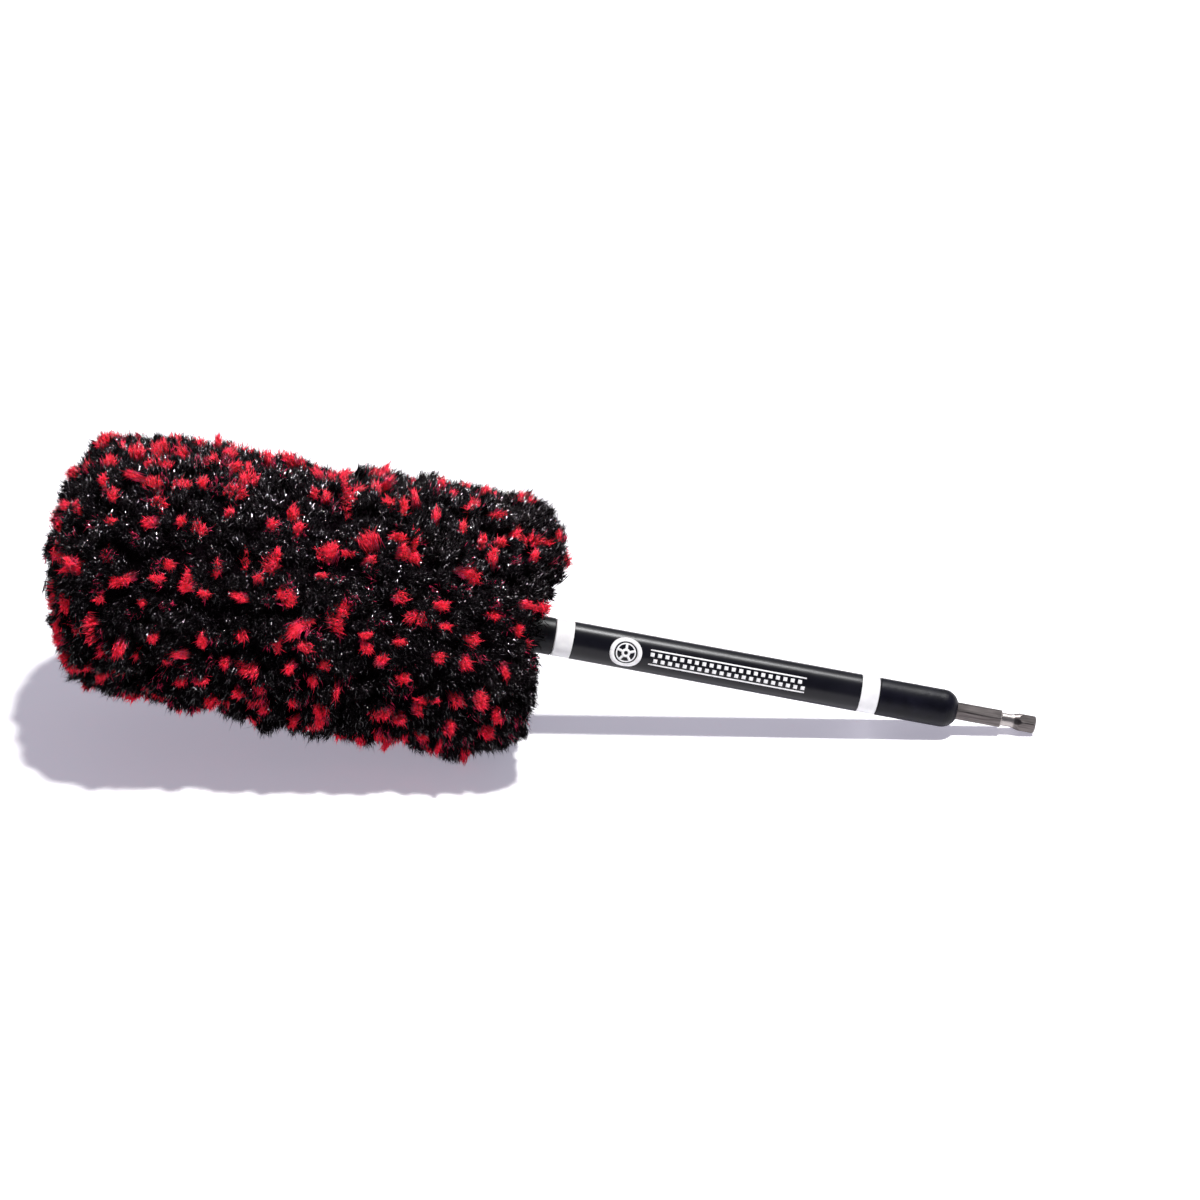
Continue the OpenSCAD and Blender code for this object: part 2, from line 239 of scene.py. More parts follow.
def make_metal_finish():
    """Shader group: drawn or turned steel. Noise stretched along X gives grain lines, and a wide noise
    gives stains. Puts out a grain mask, a stain mask, a roughness and a bumped normal."""
    group = bpy.data.node_groups.new("metal_finish", "ShaderNodeTree")
    face = group.interface
    face.new_socket("Vector", in_out="INPUT", socket_type="NodeSocketVector")
    for label, value in (("Along", 60.0), ("Across", 4000.0), ("Depth", 0.2)):
        face.new_socket(label, in_out="INPUT", socket_type="NodeSocketFloat").default_value = value
    for label in ("Grain", "Stain", "Roughness"):
        face.new_socket(label, in_out="OUTPUT", socket_type="NodeSocketFloat")
    face.new_socket("Normal", in_out="OUTPUT", socket_type="NodeSocketVector")
    shader_nodes, shader_links = group.nodes, group.links
    given = shader_nodes.new("NodeGroupInput")
    result = shader_nodes.new("NodeGroupOutput")
    scales = shader_nodes.new("ShaderNodeCombineXYZ")
    shader_links.new(given.outputs["Along"], scales.inputs["X"])
    shader_links.new(given.outputs["Across"], scales.inputs["Y"])
    shader_links.new(given.outputs["Across"], scales.inputs["Z"])
    stretch = shader_nodes.new("ShaderNodeVectorMath")
    stretch.operation = "MULTIPLY"
    shader_links.new(given.outputs["Vector"], stretch.inputs[0])
    shader_links.new(scales.outputs["Vector"], stretch.inputs[1])
    grain = shader_nodes.new("ShaderNodeTexNoise")
    grain.inputs["Scale"].default_value = 1.0
    grain.inputs["Detail"].default_value = 3.0
    shader_links.new(stretch.outputs["Vector"], grain.inputs["Vector"])
    stain = shader_nodes.new("ShaderNodeTexNoise")
    stain.inputs["Scale"].default_value = 260.0
    stain.inputs["Detail"].default_value = 4.0
    shader_links.new(given.outputs["Vector"], stain.inputs["Vector"])
    gloss = shader_nodes.new("ShaderNodeMapRange")
    gloss.inputs["To Min"].default_value = 0.26
    gloss.inputs["To Max"].default_value = 0.5
    shader_links.new(stain.outputs["Fac"], gloss.inputs["Value"])
    relief = shader_nodes.new("ShaderNodeBump")
    relief.inputs["Distance"].default_value = 0.00012
    shader_links.new(given.outputs["Depth"], relief.inputs["Strength"])
    shader_links.new(grain.outputs["Fac"], relief.inputs["Height"])
    shader_links.new(grain.outputs["Fac"], result.inputs["Grain"])
    shader_links.new(stain.outputs["Fac"], result.inputs["Stain"])
    shader_links.new(gloss.outputs["Result"], result.inputs["Roughness"])
    shader_links.new(relief.outputs["Normal"], result.inputs["Normal"])
    return group


metal_finish = make_metal_finish()


def add_tones(shader_nodes, shader_links, mask, dark, light, low=0.0, high=1.0):
    """A colour ramp from dark to light, as the mask goes from low to high."""
    tone = shader_nodes.new("ShaderNodeValToRGB")
    tone.color_ramp.elements[0].position = low
    tone.color_ramp.elements[0].color = dark
    tone.color_ramp.elements[1].position = high
    tone.color_ramp.elements[1].color = light
    shader_links.new(mask, tone.inputs["Fac"])
    return tone.outputs["Color"]


def make_steel(name, dark, light, along_scale, across_scale, depth):
    """A steel material: the metal finish group mixes a dark and a light tone by its grain."""
    material, shader_nodes, shader_links, shader = start_material(name)
    finish = shader_nodes.new("ShaderNodeGroup")
    finish.node_tree = metal_finish
    finish.inputs["Along"].default_value = along_scale
    finish.inputs["Across"].default_value = across_scale
    finish.inputs["Depth"].default_value = depth
    axis_space = add_axis_space(shader_nodes, shader_links)
    shader_links.new(axis_space, finish.inputs["Vector"])
    colour = add_tones(shader_nodes, shader_links, finish.outputs["Grain"], dark, light, 0.32, 0.68)
    shader_links.new(colour, shader.inputs["Base Color"])
    shader_links.new(finish.outputs["Roughness"], shader.inputs["Roughness"])
    shader_links.new(finish.outputs["Normal"], shader.inputs["Normal"])
    shader.inputs["Metallic"].default_value = 1.0
    return material, shader_nodes, shader_links, shader, colour, axis_space


shank_steel, shank_nodes, shank_links, shank_shader, shank_colour, shank_space = make_steel(
    "shank_steel", STEEL_DARK, STEEL_DULL, 90.0, 1500.0, 0.35
)

# Between the two shoulders of the groove, the dull tone gives way to the bright one.
shank_split = shank_nodes.new("ShaderNodeSeparateXYZ")
shank_links.new(shank_space, shank_split.inputs["Vector"])
groove_open = shank_nodes.new("ShaderNodeMapRange")
groove_open.interpolation_type = "SMOOTHSTEP"
groove_open.inputs["From Min"].default_value = GROOVE_START - OPENING_HALF
groove_open.inputs["From Max"].default_value = GROOVE_START + OPENING_HALF
groove_close = shank_nodes.new("ShaderNodeMapRange")
groove_close.interpolation_type = "SMOOTHSTEP"
groove_close.inputs["From Min"].default_value = GROOVE_END + CLOSING_HALF
groove_close.inputs["From Max"].default_value = GROOVE_END - CLOSING_HALF
in_groove = shank_nodes.new("ShaderNodeMath")
in_groove.operation = "MULTIPLY"
shank_links.new(shank_split.outputs["X"], groove_open.inputs["Value"])
shank_links.new(shank_split.outputs["X"], groove_close.inputs["Value"])
shank_links.new(groove_open.outputs["Result"], in_groove.inputs[0])
shank_links.new(groove_close.outputs["Result"], in_groove.inputs[1])
groove_colour = shank_nodes.new("ShaderNodeMix")
groove_colour.data_type = "RGBA"
groove_colour.inputs["B"].default_value = STEEL_BRIGHT
shank_links.new(in_groove.outputs["Value"], groove_colour.inputs["Factor"])
shank_links.new(shank_colour, groove_colour.inputs["A"])
shank_links.new(groove_colour.outputs["Result"], shank_shader.inputs["Base Color"])
dress("hex_shank", shank_steel)

# ---------------------------------------------------------------------------
# End boot: a soft black moulding over the coupler, rounded at its rear end.
# Its surface is satin with a fine pit and slow ripples from the moulding.
# ---------------------------------------------------------------------------
BOOT_BLACK = (0.0015, 0.0015, 0.004, 1.0)
BOOT_WORN = (0.004, 0.004, 0.009, 1.0)


def make_moulded_skin():
    """Shader group: the skin of a moulded plastic. A fine noise gives pits, and a wide noise gives slow
    ripples. Puts out a patch mask, a roughness and a bumped normal."""
    group = bpy.data.node_groups.new("moulded_skin", "ShaderNodeTree")
    face = group.interface
    for label, value in (
        ("Pit Scale", 2600.0),
        ("Pit Depth", 0.1),
        ("Ripple Scale", 120.0),
        ("Ripple Depth", 0.1),
        ("Gloss Low", 0.3),
        ("Gloss High", 0.4),
    ):
        face.new_socket(label, in_out="INPUT", socket_type="NodeSocketFloat").default_value = value
    for label in ("Patch", "Roughness"):
        face.new_socket(label, in_out="OUTPUT", socket_type="NodeSocketFloat")
    face.new_socket("Normal", in_out="OUTPUT", socket_type="NodeSocketVector")
    shader_nodes, shader_links = group.nodes, group.links
    given = shader_nodes.new("NodeGroupInput")
    result = shader_nodes.new("NodeGroupOutput")
    place = shader_nodes.new("ShaderNodeTexCoord")
    pits = shader_nodes.new("ShaderNodeTexNoise")
    pits.inputs["Detail"].default_value = 2.0
    ripples = shader_nodes.new("ShaderNodeTexNoise")
    ripples.inputs["Detail"].default_value = 3.0
    for noise, label in ((pits, "Pit Scale"), (ripples, "Ripple Scale")):
        shader_links.new(place.outputs["Object"], noise.inputs["Vector"])
        shader_links.new(given.outputs[label], noise.inputs["Scale"])
    gloss = shader_nodes.new("ShaderNodeMapRange")
    shader_links.new(ripples.outputs["Fac"], gloss.inputs["Value"])
    shader_links.new(given.outputs["Gloss Low"], gloss.inputs["To Min"])
    shader_links.new(given.outputs["Gloss High"], gloss.inputs["To Max"])
    ripple_bump = shader_nodes.new("ShaderNodeBump")
    ripple_bump.inputs["Distance"].default_value = 0.0006
    shader_links.new(given.outputs["Ripple Depth"], ripple_bump.inputs["Strength"])
    shader_links.new(ripples.outputs["Fac"], ripple_bump.inputs["Height"])
    pit_bump = shader_nodes.new("ShaderNodeBump")
    pit_bump.inputs["Distance"].default_value = 0.0001
    shader_links.new(given.outputs["Pit Depth"], pit_bump.inputs["Strength"])
    shader_links.new(pits.outputs["Fac"], pit_bump.inputs["Height"])
    shader_links.new(ripple_bump.outputs["Normal"], pit_bump.inputs["Normal"])
    shader_links.new(ripples.outputs["Fac"], result.inputs["Patch"])
    shader_links.new(gloss.outputs["Result"], result.inputs["Roughness"])
    shader_links.new(pit_bump.outputs["Normal"], result.inputs["Normal"])
    return group


moulded_skin = make_moulded_skin()


def make_plastic(name, dark, light, specular=0.5, **skin):
    """A moulded plastic: the moulded skin group, with its own sizes, mixes two near tones."""
    material, shader_nodes, shader_links, shader = start_material(name)
    finish = shader_nodes.new("ShaderNodeGroup")
    finish.node_tree = moulded_skin
    for label, value in skin.items():
        finish.inputs[label.replace("_", " ").title()].default_value = value
    colour = add_tones(shader_nodes, shader_links, finish.outputs["Patch"], dark, light, 0.35, 0.65)
    shader_links.new(colour, shader.inputs["Base Color"])
    shader_links.new(finish.outputs["Roughness"], shader.inputs["Roughness"])
    shader_links.new(finish.outputs["Normal"], shader.inputs["Normal"])
    shader.inputs["Specular IOR Level"].default_value = specular
    return material


dress(
    "end_boot",
    make_plastic(
        "boot_black",
        BOOT_BLACK,
        BOOT_WORN,
        specular=0.17,
        pit_scale=2200.0,
        pit_depth=0.18,
        ripple_scale=170.0,
        ripple_depth=0.35,
        gloss_low=0.34,
        gloss_high=0.5,
    ),
)

# ---------------------------------------------------------------------------
# Grip sleeve: a hard black tube that a hand holds while the drill turns the
# shaft inside it. Extruded, so it is smoother than the boot, with a soft sheen.
# ---------------------------------------------------------------------------
SLEEVE_BLACK = (0.002, 0.002, 0.0045, 1.0)
SLEEVE_RUBBED = (0.005, 0.005, 0.0085, 1.0)

dress(
    "grip_sleeve",
    make_plastic(
        "sleeve_black",
        SLEEVE_BLACK,
        SLEEVE_RUBBED,
        specular=0.26,
        pit_scale=3000.0,
        pit_depth=0.10,
        ripple_scale=70.0,
        ripple_depth=0.10,
        gloss_low=0.27,
        gloss_high=0.33,
    ),
)

# ---------------------------------------------------------------------------
# Sleeve print: white pad printing on the sleeve, a wheel sign and a strip of
# tyre tread, a few hundredths of a millimetre of ink that follow the curve.
# ---------------------------------------------------------------------------
PRINT_TURN = np.radians(22.0)
INK_ABOVE = 0.05 * mm
INK_BELOW = 0.03 * mm
WHEEL_PLACE = 156.0 * mm
RIM_RADIUS, RIM_WIDTH = 5.2 * mm, 1.7 * mm
RING_RADIUS, RING_WIDTH = 3.5 * mm, 0.5 * mm
HUB_RADIUS, HUB_WIDTH = 1.2 * mm, 0.9 * mm
SPOKE_START, SPOKE_END, SPOKE_WIDTH = 1.5 * mm, 3.5 * mm, 0.95 * mm
SPOKE_COUNT = 5
SPOKE_TURN = 0.3
TREAD_START, TREAD_END = 88.0 * mm, 147.0 * mm
RAIL_PLACE, RAIL_WIDTH = 2.75 * mm, 0.55 * mm
BLOCK_START, BLOCK_END, BLOCK_WIDTH = 0.4 * mm, 1.8 * mm, 1.5 * mm
BLOCK_SHIFT = 0.7 * mm
BLOCK_MARGIN = 1.6 * mm
BLOCK_PAIRS = 21
INK_WHITE = (0.86, 0.86, 0.87, 1.0)
INK_THIN = (0.74, 0.74, 0.76, 1.0)


def ink_strip(path, width):
    """A closed band of ink along a path of (distance along the sleeve, arc round it) points: the path
    moved half the width to each side, wrapped round the axis at two radii. Returns its points and quads."""
    path = np.asarray(path, float)
    step = np.gradient(path, axis=0)
    step = step / np.linalg.norm(step, axis=1, keepdims=True)
    normal = np.stack([-step[:, 1], step[:, 0]], axis=1) * width / 2
    edges = np.stack([path + normal, path - normal, path - normal, path + normal], axis=1)
    height = sleeve_radius + np.array([INK_ABOVE, INK_ABOVE, -INK_BELOW, -INK_BELOW])
    turn = PRINT_TURN + edges[..., 1] / sleeve_radius
    points = on_tool(edges[..., 0], height * np.sin(turn), -height * np.cos(turn))
    count = len(path)
    low = 4 * np.arange(count - 1)[:, None] + np.arange(4)
    turned = 4 * np.arange(count - 1)[:, None] + (np.arange(4) + 1) % 4
    walls = np.stack([low, turned, turned + 4, low + 4], axis=-1).reshape(-1, 4)
    ends = np.array([[3, 2, 1, 0], [4 * count - 4, 4 * count - 3, 4 * count - 2, 4 * count - 1]])
    return points.reshape(-1, 3), np.concatenate([walls, ends])


def ring_of_ink(centre, radius, width, count=73):
    """A ring of ink: a full circle about the centre, as an ink strip whose ends meet."""
    angle = np.linspace(0, 2 * np.pi, count)
    path = np.stack([centre + radius * np.cos(angle), radius * np.sin(angle)], axis=1)
    return ink_strip(path, width)


def line_of_ink(start, end, width, count=13):
    """A straight ink strip between two (distance, arc) points, cut in short steps so that it wraps."""
    return ink_strip(np.linspace(start, end, count), width)


def link_mesh(name, points, faces, material):
    """One mesh object from an array of points and an array of faces with one corner count for all."""
    mesh = bpy.data.meshes.new(name)
    mesh.vertices.add(len(points))
    mesh.vertices.foreach_set("co", np.ascontiguousarray(points, np.float32).ravel())
    mesh.loops.add(faces.size)
    mesh.loops.foreach_set("vertex_index", np.ascontiguousarray(faces, np.int32).ravel())
    mesh.polygons.add(len(faces))
    starts = np.arange(0, faces.size, faces.shape[1], dtype=np.int32)
    mesh.polygons.foreach_set("loop_start", starts)
    mesh.update(calc_edges=True)
    mesh.validate()
    mesh.materials.append(material)
    piece = bpy.data.objects.new(name, mesh)
    scene.collection.objects.link(piece)
    return piece


def join_parts(parts):
    """Stacks (points, faces) pairs into one array of points and one of faces."""
    counts = np.cumsum([0] + [len(points) for points, _ in parts])
    faces = [part_faces + counts[i] for i, (_, part_faces) in enumerate(parts)]
    return np.concatenate([points for points, _ in parts]), np.concatenate(faces)


sleeve_radius = extent("grip_sleeve")[2]
spoke_angles = np.arange(SPOKE_COUNT) * 2 * np.pi / SPOKE_COUNT + SPOKE_TURN
spokes = [
    line_of_ink(
        (WHEEL_PLACE + SPOKE_START * np.cos(turn), SPOKE_START * np.sin(turn)),
        (WHEEL_PLACE + SPOKE_END * np.cos(turn), SPOKE_END * np.sin(turn)),
        SPOKE_WIDTH,
    )
    for turn in spoke_angles
]

# Two staggered rows of tread blocks run between two rails.
tread_blocks = np.linspace(TREAD_START + BLOCK_MARGIN, TREAD_END - BLOCK_MARGIN, BLOCK_PAIRS)
blocks = [
    line_of_ink(
        (place + row_side * BLOCK_SHIFT, row_side * BLOCK_START),
        (place + row_side * BLOCK_SHIFT, row_side * BLOCK_END),
        BLOCK_WIDTH,
    )
    for place in tread_blocks
    for row_side in (-1, 1)
]
ink_parts = [
    ring_of_ink(WHEEL_PLACE, RIM_RADIUS, RIM_WIDTH),
    ring_of_ink(WHEEL_PLACE, RING_RADIUS, RING_WIDTH),
    ring_of_ink(WHEEL_PLACE, HUB_RADIUS, HUB_WIDTH, 37),
    line_of_ink((TREAD_START, RAIL_PLACE), (TREAD_END, RAIL_PLACE), RAIL_WIDTH),
    line_of_ink((TREAD_START, -RAIL_PLACE), (TREAD_END, -RAIL_PLACE), RAIL_WIDTH),
]
ink_points, ink_faces = join_parts(ink_parts + spokes + blocks)
sleeve_print = link_mesh(
    "sleeve_print",
    ink_points,
    ink_faces,
    make_plastic(
        "print_white",
        INK_THIN,
        INK_WHITE,
        pit_scale=3500.0,
        pit_depth=0.05,
        ripple_scale=900.0,
        ripple_depth=0.03,
        gloss_low=0.35,
        gloss_high=0.5,
    ),
)
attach(sleeve_print, "grip")

# ---------------------------------------------------------------------------
# White bushes: turned acetal, each with a flange that shows as a white ring
# between black parts. A press fit in the sleeve, running free on the shaft.
# ---------------------------------------------------------------------------
ACETAL = (0.80, 0.80, 0.81, 1.0)
ACETAL_SHADE = (0.72, 0.72, 0.74, 1.0)

bush_white = make_plastic(
    "bush_white",
    ACETAL_SHADE,
    ACETAL,
    pit_scale=1800.0,
    pit_depth=0.06,
    ripple_scale=240.0,
    ripple_depth=0.05,
    gloss_low=0.28,
    gloss_high=0.42,
)
bush_shader = bush_white.node_tree.nodes["Principled BSDF"]
bush_shader.inputs["Subsurface Weight"].default_value = 0.15
bush_shader.inputs["Subsurface Radius"].default_value = (1.0, 1.0, 1.0)
bush_shader.inputs["Subsurface Scale"].default_value = 0.0015
dress("front_bushing", bush_white)
dress("rear_bushing", bush_white)

# ---------------------------------------------------------------------------
# Shaft collar: a hard black moulding pinned to the shaft. It backs the front
# bush, and it disappears into the mouth of the pile.
# ---------------------------------------------------------------------------
COLLAR_BLACK = (0.002, 0.002, 0.004, 1.0)
COLLAR_GREY = (0.005, 0.005, 0.008, 1.0)

dress(
    "shaft_collar",
    make_plastic(
        "collar_black",
        COLLAR_BLACK,
        COLLAR_GREY,
        specular=0.2,
        pit_scale=2400.0,
        pit_depth=0.15,
        ripple_scale=200.0,
        ripple_depth=0.12,
        gloss_low=0.32,
        gloss_high=0.46,
    ),
)

# ---------------------------------------------------------------------------
# Steel inside: the ground drive shaft, the coupler that joins it to the hex
# shank, the cross pins, and the washer and screw on the shaft's far end.
# ---------------------------------------------------------------------------
SHAFT_STEEL = ((0.42, 0.42, 0.43, 1.0), (0.58, 0.58, 0.59, 1.0))
PIN_STEEL = ((0.33, 0.32, 0.31, 1.0), (0.46, 0.45, 0.44, 1.0))
ZINC = ((0.48, 0.49, 0.51, 1.0), (0.68, 0.69, 0.71, 1.0))

shaft_steel = make_steel("shaft_steel", *SHAFT_STEEL, 5000.0, 90.0, 0.15)[0]
pin_steel = make_steel("pin_steel", *PIN_STEEL, 1800.0, 1800.0, 0.12)[0]
fastener_steel = make_steel("fastener_steel", *ZINC, 900.0, 900.0, 0.10)[0]
dress("drive_shaft", shaft_steel)
dress("shank_coupler", shaft_steel)
for pin_node in ("coupler_pins", "collar_pin", "plug_pins"):
    dress(pin_node, pin_steel)
dress("end_washer", fastener_steel)
dress("end_screw", fastener_steel)

# ---------------------------------------------------------------------------
# Core: black moulded plugs on the shaft hold a cream plastic tube. A woven
# strip that carries the pile is wound round it, and a binding ties each end.
# ---------------------------------------------------------------------------
PLUG_TONES = ((0.006, 0.006, 0.008, 1.0), (0.012, 0.012, 0.015, 1.0))
CORE_TONES = ((0.60, 0.55, 0.43, 1.0), (0.70, 0.65, 0.53, 1.0))
STRIP_TONES = ((0.05, 0.05, 0.05, 1.0), (0.13, 0.13, 0.13, 1.0))
BINDING_TONES = ((0.01, 0.01, 0.01, 1.0), (0.04, 0.04, 0.045, 1.0))
STRIP_THREAD = 0.8 * mm
BINDING_THREAD = 0.4 * mm

plug_black = make_plastic(
    "plug_black",
    *PLUG_TONES,
    pit_scale=1600.0,
    pit_depth=0.2,
    ripple_scale=150.0,
    ripple_depth=0.1,
    gloss_low=0.42,
    gloss_high=0.58,
)
dress("near_plug", plug_black)
dress("far_plug", plug_black)
dress(
    "core_tube",
    make_plastic(
        "core_cream",
        *CORE_TONES,
        pit_scale=1500.0,
        pit_depth=0.1,
        ripple_scale=110.0,
        ripple_depth=0.1,
        gloss_low=0.4,
        gloss_high=0.55,
    ),
)


def make_woven(name, dark, light, thread):
    """A woven tape: two wave textures, along the tool and across it, give warp and weft."""
    material, shader_nodes, shader_links, shader = start_material(name)
    axis_space = add_axis_space(shader_nodes, shader_links)
    heights = []
    for direction in ("X", "Z"):
        wave = shader_nodes.new("ShaderNodeTexWave")
        wave.wave_type = "BANDS"
        wave.bands_direction = direction
        wave.inputs["Scale"].default_value = 1.0 / (3.2 * thread)
        wave.inputs["Distortion"].default_value = 0.6
        shader_links.new(axis_space, wave.inputs["Vector"])
        heights.append(wave.outputs["Fac"])
    weave = shader_nodes.new("ShaderNodeMath")
    weave.operation = "MAXIMUM"
    shader_links.new(heights[0], weave.inputs[0])
    shader_links.new(heights[1], weave.inputs[1])
    colour = add_tones(shader_nodes, shader_links, weave.outputs["Value"], dark, light)
    shader_links.new(colour, shader.inputs["Base Color"])
    relief = shader_nodes.new("ShaderNodeBump")
    relief.inputs["Strength"].default_value = 0.6
    relief.inputs["Distance"].default_value = 0.0003
    shader_links.new(weave.outputs["Value"], relief.inputs["Height"])
    shader_links.new(relief.outputs["Normal"], shader.inputs["Normal"])
    shader.inputs["Roughness"].default_value = 0.85
    return material


strip_weave = make_woven("strip_weave", *STRIP_TONES, STRIP_THREAD)
binding_black = make_woven("binding_black", *BINDING_TONES, BINDING_THREAD)
dress("backing_strip", strip_weave)
dress("end_bindings", binding_black)

# ---------------------------------------------------------------------------
# Pile: crimped synthetic fibre, knotted into the backing strip in tufts that
# fan out to a barrel about a hand's width across, and close over the far end.
# ---------------------------------------------------------------------------
TUFT_COUNT = 3800
RED_COUNT = 470
MIXED_COUNT = 230
STRAY_COUNT = 900
UNDER_COUNT = 1600
CLUMP_COUNT = 430
CLUMP_RADIUS = 7.5 * mm
HAIRS_PER_TUFT = 63
GLINT_HAIRS_PER_TUFT = 7
RED_HAIRS_PER_TUFT = 80
MIXED_HAIRS_PER_TUFT = 20
UNDER_HAIRS_PER_TUFT = 12
STRAY_HAIRS_PER_TUFT = 3
TRIANGLES_PER_HAIR = 6
MOST_TRIANGLES = 195000
GOLDEN_TURN = np.pi * (3 - np.sqrt(5))
ORDER_JITTER = 0.35
TURN_JITTER = 0.5
OUTLINE_STEPS = 801
NOMINAL_RADIUS = 49.0 * mm
REST_HEIGHT = 3.2 * mm
FAR_LEAN = 0.055
LEAN_LENGTH = 60 * mm
SAG = 2.0 * mm
SAG_LENGTH = 45 * mm
DENT_DEPTH = 7.5 * mm
DENT_LENGTH = 40 * mm
DENT_TURN = np.radians(-59)
DENT_HALF_TURN = 0.32
ROOT_SQUEEZE = 0.80
ROOT_RADIUS_SHARE = 0.45
SMOOTHING = 31
SWELL_HEIGHT = 1.3 * mm
CLUMP_HEIGHT_SPREAD = 1.0 * mm
TUFT_HEIGHT_SPREAD = 1.0 * mm
TUFT_LIFT = 0.8 * mm
CLUMP_EDGE_DROP = 2.3 * mm
CLUMP_REACH = 1.6
CLUMP_PULL = 0.2
BARE_MIDDLE = 12 * mm
BARE_EDGE = 17 * mm
BARE_COSINE = 0.3
BLACK_ASKEW = 7.0 * mm
RED_ASKEW = 12.0 * mm
RIM_DROP = 1.9 * mm
END_SCATTER = 0.8 * mm
START_SCATTER = 0.8 * mm
KINK_SCATTER = 0.95 * mm
START_NARROWING = 0.45
LENGTH_SHARES = (0.8, 1.1)
KINK_SHARES = (0.13, 0.36)
WIDTH_SHARES = (0.7, 1.3)

pile_near, pile_far, pile_radius = extent("black_pile")
core_radius = extent("backing_strip")[2]
core_near, core_far, _ = extent("core_tube")
core_middle = (core_near + core_far) / 2
screw_far = extent("end_screw")[1]

# The outline through the middles of the tuft ends, in millimetres: distance from the nearer end of the
# pile, and radius. The middle part counts from the near end too.
near_outline = np.array(
    [
        (21.0, 10.0),
        (16.0, 14.5),
        (10.5, 21.0),
        (5.5, 29.0),
        (4.4, 36.5),
        (6.5, 43.0),
        (12.0, 46.6),
        (26.0, 48.6),
    ]
)
far_outline = np.array(
    [
        (44.0, 47.9),
        (30.0, 47.4),
        (20.8, 46.2),
        (15.2, 43.4),
        (11.4, 38.0),
        (7.8, 31.4),
        (5.0, 24.0),
        (2.2, 16.0),
        (0.8, 7.5),
        (0.3, 0.0),
    ]
)
middle_outline = np.array([(50.0, 49.4), (112.0, 48.4)])


def soften(values, span):
    """A moving average over span samples, with both ends held."""
    padded = np.pad(values, span // 2, mode="edge")
    padded[: span // 2] = 2 * values[0] - values[1 : span // 2 + 1][::-1]
    padded[-(span // 2) :] = 2 * values[-1] - values[-span // 2 : -1][::-1]
    return np.convolve(padded, np.ones(span) / span, mode="valid")


outline_distance = np.concatenate(
    [
        pile_near + near_outline[:, 0] * mm,
        pile_near + middle_outline[:, 0] * mm,
        pile_far - far_outline[:, 0] * mm,
    ]
)
outline_radius = np.concatenate([near_outline[:, 1], middle_outline[:, 1], far_outline[:, 1]]) * mm
outline_radius = outline_radius + (pile_radius - NOMINAL_RADIUS)
outline_radius[-1] = 0.0
chord = np.concatenate([[0], np.cumsum(np.hypot(np.diff(outline_distance), np.diff(outline_radius)))])
even = np.linspace(0, chord[-1], OUTLINE_STEPS)
outline_distance = soften(np.interp(even, chord, outline_distance), SMOOTHING)
outline_radius = np.maximum(soften(np.interp(even, chord, outline_radius), SMOOTHING), 0)
ring_area = np.concatenate(
    [[0], np.cumsum(2 * np.pi * (outline_radius[1:] + outline_radius[:-1]) / 2 * np.diff(even))]
)


def scatter_on_pile(count, jitter, random, start_turn=0.0):
    """Spreads points evenly over the outline turned about the axis: the n-th point lies where the area
    so far is n shares, each a golden-angle turn after the last, and moves by a random share of the pitch.
    Returns their distances along the tool, radii and turns."""
    share = np.arange(count) + 0.5 + jitter * random.uniform(-1, 1, count) * np.sqrt(count) * ORDER_JITTER
    share = np.clip(share, 0.3, count - 0.3) / count * ring_area[-1]
    distance = np.interp(share, ring_area, outline_distance)
    radius = np.interp(share, ring_area, outline_radius)
    pitch = np.sqrt(ring_area[-1] / count)
    turn = start_turn + np.arange(count) * GOLDEN_TURN
    turn = turn + jitter * random.uniform(-1, 1, count) * TURN_JITTER * pitch / np.maximum(radius, pitch)
    return distance, radius, turn


def around_tool(distance, radius, turn):
    """World points at a distance along the tool, a radius from its axis and a turn about it."""
    return on_tool(distance, radius * np.cos(turn), radius * np.sin(turn))


def rooted_at(distance, radius, turn):
    """Where a tuft with its end at that place starts: on the strip round the core, a share nearer to the
    middle of the core, and closer to the axis where the end itself is close to it."""
    root_distance = core_middle + (distance - core_middle) * ROOT_SQUEEZE
    return around_tool(root_distance, np.minimum(core_radius, ROOT_RADIUS_SHARE * radius), turn)


def unit(vectors):
    """The vectors, each divided by its length."""
    return vectors / np.linalg.norm(vectors, axis=-1, keepdims=True)


random = np.random.default_rng(41)
clump_points = around_tool(*scatter_on_pile(CLUMP_COUNT, 1.0, random, 1.7))
tuft_distance, tuft_radius, tuft_turn = scatter_on_pile(TUFT_COUNT, 1.0, random)

# The far end leans out at the top.
far_share = np.clip((tuft_distance - pile_far + LEAN_LENGTH) / LEAN_LENGTH, 0, 1)
tuft_distance = tuft_distance + FAR_LEAN * far_share * tuft_radius * np.cos(tuft_turn)

# The pile is pushed back from the collar on one side, which leaves the collar bare there.
near_share = np.clip((pile_near + DENT_LENGTH - tuft_distance) / DENT_LENGTH, 0, 1)
off_dent = (tuft_turn - DENT_TURN + np.pi) % (2 * np.pi) - np.pi
tuft_distance = tuft_distance + DENT_DEPTH * near_share * np.exp(-((off_dent / DENT_HALF_TURN) ** 2))
tuft_ends = around_tool(tuft_distance, tuft_radius, tuft_turn)
tuft_roots = rooted_at(tuft_distance, tuft_radius, tuft_turn)
tuft_out = unit(tuft_ends - tuft_roots)

